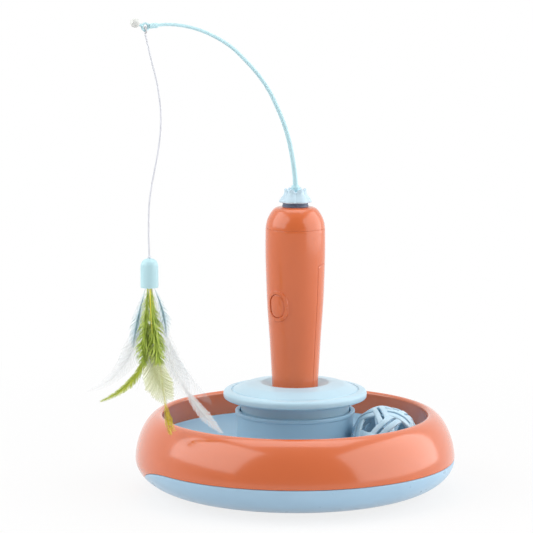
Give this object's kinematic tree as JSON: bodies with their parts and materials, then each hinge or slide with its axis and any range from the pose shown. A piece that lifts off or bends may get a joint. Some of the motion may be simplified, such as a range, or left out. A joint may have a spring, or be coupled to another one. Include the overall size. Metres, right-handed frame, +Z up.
{
  "type": "automatic cat teaser",
  "caption": "Round ball track with a woven rolling ball, a lift-out cap disc and a motor handle that turns a curved arm with a hanging feather lure.",
  "frame": {"origin": "on the floor under the middle of the round track", "axes": "+Z up along the handle; +X right and +Y away in the picture"},
  "size_m": [0.2733, 0.2416, 0.3596],
  "materials": {
    "orange_gloss": "gloss",
    "orange_handle": "gloss",
    "light_blue": "satin",
    "pale_blue": "satin",
    "drum_blue": "satin",
    "ball_blue": "satin",
    "aqua": "gloss",
    "grey_blue": "matt",
    "off_white": "gloss",
    "foot_rubber": "matt",
    "steel": "satin",
    "brass": "satin",
    "cell_wrap": "satin",
    "black_plastic": "matt",
    "gear_white": "matt",
    "board_green": "satin",
    "lead_red": "satin",
    "cord_cotton": "matt",
    "green_down": "matt",
    "white_down": "matt",
    "blue_down": "matt",
    "yellow_down": "matt",
    "bell_metal": "gloss"
  },
  "bodies": {
    "base": {"base_tray": "light_blue", "rubber_feet": "foot_rubber", "base_screws": "steel", "track_ring": "orange_gloss", "track_trough": "drum_blue"},
    "disc": {"top_disc": "pale_blue"},
    "handle": {"handle_body": "orange_handle", "handle_head": "orange_handle", "battery_holder": "black_plastic", "battery_cells": "cell_wrap", "cell_contacts": "steel", "switch_board": "board_green", "tact_switch": "black_plastic", "motor": "steel", "gearbox_base": "black_plastic", "gearbox_lid": "black_plastic", "gearbox_screws": "steel", "gear_pin_low": "steel", "gear_pin_high": "steel", "shaft_bush": "brass", "shaft_collar": "grey_blue", "lead_wires": "lead_red"},
    "cover": {"battery_cover": "orange_handle"},
    "button": {"power_button": "orange_handle", "switch_plunger": "off_white"},
    "motor_rotor": {"motor_shaft": "steel", "motor_pinion": "gear_white"},
    "gear_low": {"reduction_gear_low": "gear_white"},
    "gear_high": {"reduction_gear_high": "gear_white"},
    "rotor": {"output_gear": "gear_white", "output_shaft": "steel", "crown_cap": "pale_blue", "arm_sleeve": "aqua", "teaser_arm": "aqua", "tip_eyelet": "aqua", "tip_knob": "off_white"},
    "loop": {"cord_loop": "steel"},
    "lure": {"lure_cord": "cord_cotton", "feather_capsule": "aqua", "capsule_plug": "off_white", "blue_feathers": "blue_down", "white_feathers": "white_down", "yellow_feathers": "yellow_down", "green_feathers": "green_down"},
    "bell_seat": {"bell": "bell_metal"},
    "ball": {"lattice_ball": "ball_blue"}
  },
  "joints": [
    {"name": "disc_lift", "type": "slide", "parent": "base", "child": "disc", "axis": [0, 0, 1], "range_m": [0, 0.03]},
    {"name": "handle_lift", "type": "slide", "parent": "disc", "child": "handle", "axis": [0, 0, 1], "range_m": [0, 0.04]},
    {"name": "battery_cover_open", "type": "hinge", "parent": "handle", "child": "cover", "pos_m": [0.01107, 0.01319, 0.079], "axis": [-0.766, 0.6428, 0], "range_deg": [0, 35]},
    {"name": "button_press", "type": "slide", "parent": "handle", "child": "button", "axis": [0.6428, 0.766, 0], "range_m": [0, 0.0012], "stiffness_N_per_m": 400},
    {"name": "output_spin", "type": "hinge", "parent": "handle", "child": "rotor", "pos_m": [0, 0, 0.2], "axis": [0, 0, 1], "continuous": true},
    {"name": "gear_high_spin", "type": "hinge", "parent": "handle", "child": "gear_high", "pos_m": [0.00643, 0.00766, 0.184], "axis": [0, 0, 1], "continuous": true},
    {"name": "gear_low_spin", "type": "hinge", "parent": "handle", "child": "gear_low", "pos_m": [0, 0, 0.18], "axis": [0, 0, 1], "continuous": true},
    {"name": "motor_spin", "type": "hinge", "parent": "handle", "child": "motor_rotor", "pos_m": [0.00643, 0.00766, 0.18], "axis": [0, 0, 1], "continuous": true},
    {"name": "lure_swing_out", "type": "hinge", "parent": "rotor", "child": "loop", "pos_m": [-0.10819, -0.07026, 0.3528], "axis": [0.5446, -0.8387, 0], "range_deg": [-25, 2]},
    {"name": "lure_swing_side", "type": "hinge", "parent": "loop", "child": "lure", "pos_m": [-0.10819, -0.07026, 0.3484], "axis": [-0.8387, -0.5446, 0], "range_deg": [-3, 20]},
    {"name": "ball_orbit", "type": "hinge", "parent": "base", "child": "bell_seat", "pos_m": [0, 0, 0.042], "axis": [0, 0, 1], "continuous": true},
    {"name": "ball_roll", "type": "hinge", "parent": "bell_seat", "child": "ball", "pos_m": [0.06713, -0.02312, 0.0423], "axis": [0.9455, -0.3256, 0], "continuous": true}
  ],
  "couplings": [
    {"joint": "gear_high_spin", "follows": "output_spin", "ratio": -3},
    {"joint": "gear_low_spin", "follows": "output_spin", "ratio": 9},
    {"joint": "motor_spin", "follows": "output_spin", "ratio": -27},
    {"joint": "ball_roll", "follows": "ball_orbit", "ratio": -2.7308}
  ]
}
